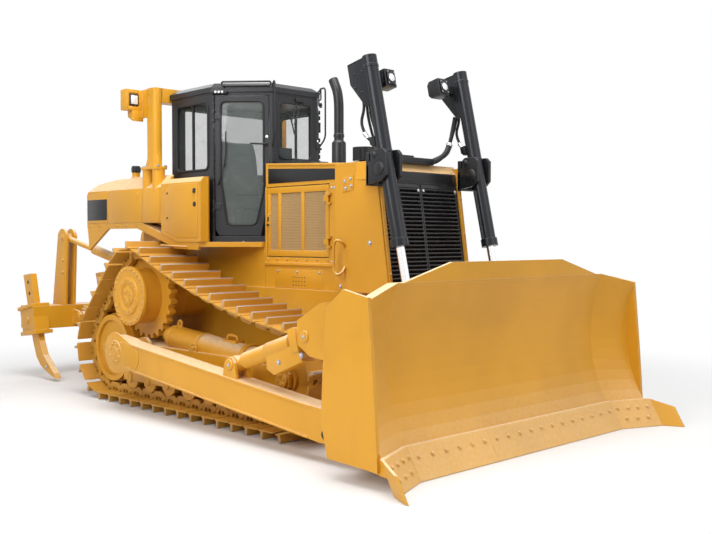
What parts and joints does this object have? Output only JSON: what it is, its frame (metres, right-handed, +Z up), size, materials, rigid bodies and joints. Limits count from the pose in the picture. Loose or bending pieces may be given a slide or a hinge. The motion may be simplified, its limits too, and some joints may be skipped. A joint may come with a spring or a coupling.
{
  "type": "crawler bulldozer",
  "caption": "Crawler bulldozer with raised drive sprockets, hydraulic semi-U blade on push arms, glazed tapered cab with rollover frame and a rear parallelogram ripper",
  "frame": {"origin": "middle of the overall length and width, on the ground plane at the grouser tips", "axes": "+X forward to the blade, +Y to the machine's left, +Z up"},
  "size_m": [7.4, 3.692, 3.31],
  "materials": {
    "yellow_paint": "satin yellow machine paint",
    "worn_yellow": "worn yellow machine paint",
    "track_steel": "yellow painted forged steel with worn bars",
    "black_paint": "satin black paint",
    "charcoal_paint": "satin charcoal paint",
    "tinted_glass": "green-grey safety glass",
    "chrome_rod": "polished hard chrome",
    "edge_steel": "yellow painted hardened steel",
    "engine_iron": "painted casting"
  },
  "bodies": {
    "tractor": {"cab_floor": "charcoal_paint", "cab_front": "charcoal_paint", "cab_glass": "tinted_glass", "cab_rear": "charcoal_paint", "cab_roof": "charcoal_paint", "cab_sides": "charcoal_paint", "engine_block": "engine_iron", "exhaust": "black_paint", "fenders": "yellow_paint", "fuel_tank": "yellow_paint", "grille": "black_paint", "hood": "yellow_paint", "idlers": "worn_yellow", "lift_yokes": "black_paint", "main_frame": "yellow_paint", "precleaner": "black_paint", "radiator_guard": "yellow_paint", "rear_bracket": "yellow_paint", "rear_case": "yellow_paint", "rops_crossbar": "yellow_paint", "rops_posts": "yellow_paint", "side_boxes": "yellow_paint", "side_panels": "yellow_paint", "sprockets": "worn_yellow", "track_frames": "yellow_paint", "track_left": "track_steel", "track_right": "track_steel", "track_rollers": "worn_yellow"},
    "blade": {"blade": "yellow_paint", "blade_edges": "edge_steel", "push_arm_right": "yellow_paint", "push_arm_left": "yellow_paint", "tilt_strut": "yellow_paint", "brace_strut": "yellow_paint"},
    "lift_barrel_right": {"lift_barrel_right": "black_paint"},
    "lift_barrel_left": {"lift_barrel_left": "black_paint"},
    "lift_rod_right": {"lift_rod_right": "chrome_rod"},
    "lift_rod_left": {"lift_rod_left": "chrome_rod"},
    "ripper_link": {"ripper_arms": "yellow_paint", "ripper_crossbar": "yellow_paint"},
    "ripper": {"ripper_beam": "yellow_paint", "ripper_towers": "yellow_paint", "ripper_shanks": "yellow_paint"},
    "tilt_right": {"tilt_cylinder_right": "yellow_paint"},
    "tilt_left": {"tilt_cylinder_left": "yellow_paint"},
    "raise_barrel_right": {"raise_barrel_right": "yellow_paint"},
    "raise_barrel_left": {"raise_barrel_left": "yellow_paint"},
    "raise_rod_right": {"raise_rod_right": "chrome_rod"},
    "raise_rod_left": {"raise_rod_left": "chrome_rod"},
    "cab_door_right": {"cab_door_right": "charcoal_paint", "door_glass_right": "tinted_glass"},
    "cab_door_left": {"cab_door_left": "charcoal_paint", "door_glass_left": "tinted_glass"},
    "engine_door_right": {"engine_door_right": "yellow_paint"},
    "engine_door_left": {"engine_door_left": "yellow_paint"}
  },
  "joints": [
    {"name": "blade_lift", "type": "hinge", "parent": "tractor", "child": "blade", "pos_m": [-0.62, 0, 0.59], "axis": [0, -1, 0], "range_deg": [-7, 16]},
    {"name": "lift_barrel_right", "type": "hinge", "parent": "tractor", "child": "lift_barrel_right", "pos_m": [2.286, -0.595, 2.3], "axis": [0, -1, 0], "range_deg": [-2.69, 6.15]},
    {"name": "lift_rod_right", "type": "slide", "parent": "lift_barrel_right", "child": "lift_rod_right", "axis": [0.2209, 0, -0.9753], "range_m": [-0.92385, 0.40418]},
    {"name": "lift_barrel_left", "type": "hinge", "parent": "tractor", "child": "lift_barrel_left", "pos_m": [2.286, 0.595, 2.3], "axis": [0, -1, 0], "range_deg": [-2.69, 6.15]},
    {"name": "lift_rod_left", "type": "slide", "parent": "lift_barrel_left", "child": "lift_rod_left", "axis": [0.2209, 0, -0.9753], "range_m": [-0.92385, 0.40418]},
    {"name": "ripper_lift", "type": "hinge", "parent": "tractor", "child": "ripper_link", "pos_m": [-1.69, 0, 0.44], "axis": [0, 1, 0], "range_deg": [-18, 18]},
    {"name": "ripper_beam", "type": "hinge", "parent": "ripper_link", "child": "ripper", "pos_m": [-3.165, 0, 0.738], "axis": [0, 1, 0], "range_deg": [-18.36, 18.36]},
    {"name": "tilt_right", "type": "hinge", "parent": "tractor", "child": "tilt_right", "pos_m": [-1.9, -0.6, 1.435], "axis": [0, 1, 0], "range_deg": [-18.36, 18.36]},
    {"name": "raise_barrel_right", "type": "hinge", "parent": "tractor", "child": "raise_barrel_right", "pos_m": [-1.92, -0.3, 1.46], "axis": [0, 1, 0], "range_deg": [-2.32, 2.32]},
    {"name": "raise_rod_right", "type": "slide", "parent": "raise_barrel_right", "child": "raise_rod_right", "axis": [-0.2144, 0, -0.9767], "range_m": [-0.13999, 0.13999]},
    {"name": "tilt_left", "type": "hinge", "parent": "tractor", "child": "tilt_left", "pos_m": [-1.9, 0.6, 1.435], "axis": [0, 1, 0], "range_deg": [-18.36, 18.36]},
    {"name": "raise_barrel_left", "type": "hinge", "parent": "tractor", "child": "raise_barrel_left", "pos_m": [-1.92, 0.3, 1.46], "axis": [0, 1, 0], "range_deg": [-2.32, 2.32]},
    {"name": "raise_rod_left", "type": "slide", "parent": "raise_barrel_left", "child": "raise_rod_left", "axis": [-0.2144, 0, -0.9767], "range_m": [-0.13999, 0.13999]},
    {"name": "cab_door_right", "type": "hinge", "parent": "tractor", "child": "cab_door_right", "pos_m": [-0.03814, -0.71173, 2.5], "axis": [0, 0, -1], "range_deg": [0, 90]},
    {"name": "cab_door_left", "type": "hinge", "parent": "tractor", "child": "cab_door_left", "pos_m": [-0.03814, 0.71173, 2.5], "axis": [0, 0, 1], "range_deg": [0, 90]},
    {"name": "engine_door_right", "type": "hinge", "parent": "tractor", "child": "engine_door_right", "pos_m": [1.344, -0.416, 1.89], "axis": [0, 0, 1], "range_deg": [0, 95]},
    {"name": "engine_door_left", "type": "hinge", "parent": "tractor", "child": "engine_door_left", "pos_m": [1.344, 0.416, 1.89], "axis": [0, 0, -1], "range_deg": [0, 95]}
  ],
  "couplings": [
    {"joint": "lift_barrel_right", "follows": "blade_lift", "ratio": 0.37706},
    {"joint": "lift_rod_right", "follows": "blade_lift", "m_per_rad": -3.2434},
    {"joint": "lift_barrel_left", "follows": "blade_lift", "ratio": 0.37706},
    {"joint": "lift_rod_left", "follows": "blade_lift", "m_per_rad": -3.2434},
    {"joint": "ripper_beam", "follows": "ripper_lift", "ratio": -1},
    {"joint": "tilt_right", "follows": "ripper_lift", "ratio": 1},
    {"joint": "raise_barrel_right", "follows": "ripper_lift", "ratio": -0.12617},
    {"joint": "raise_rod_right", "follows": "ripper_lift", "m_per_rad": -0.43686},
    {"joint": "tilt_left", "follows": "ripper_lift", "ratio": 1},
    {"joint": "raise_barrel_left", "follows": "ripper_lift", "ratio": -0.12617},
    {"joint": "raise_rod_left", "follows": "ripper_lift", "m_per_rad": -0.43686}
  ]
}
